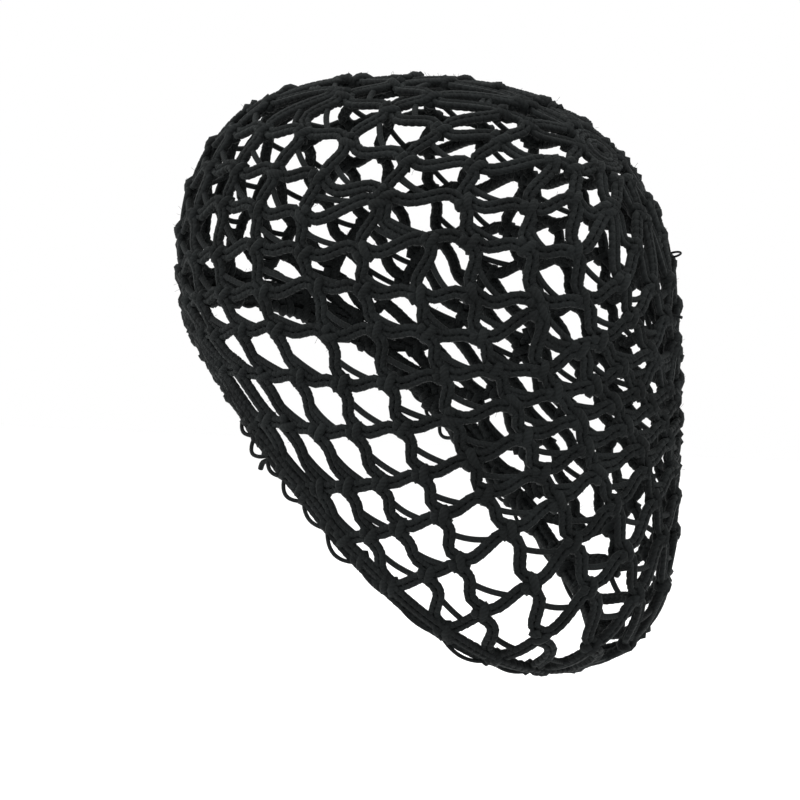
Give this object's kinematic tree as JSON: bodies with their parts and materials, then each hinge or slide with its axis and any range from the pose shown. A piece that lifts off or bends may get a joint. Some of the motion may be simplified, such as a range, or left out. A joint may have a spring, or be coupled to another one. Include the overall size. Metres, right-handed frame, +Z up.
{
  "type": "hairnet",
  "caption": "Crocheted open-mesh snood hairnet in black yarn, in its worn form: a rounded net bag, full at the nape, with a dense edging round the slanted face and nape opening.",
  "frame": {"origin": "inside of the top of the net on its middle plane, where the wearer's head bears", "axes": "+Z up, the wearer looks along -Y, +X towards the wearer's left"},
  "size_m": [0.178, 0.2526, 0.2759],
  "materials": {
    "net_yarn": "matte cotton and rayon yarn with a slight sheen",
    "rim_yarn": "matte cotton and rayon yarn with a slight sheen, worked densely"
  },
  "bodies": {
    "root": {"net": "net_yarn", "rim_band": "rim_yarn"}
  },
  "joints": []
}
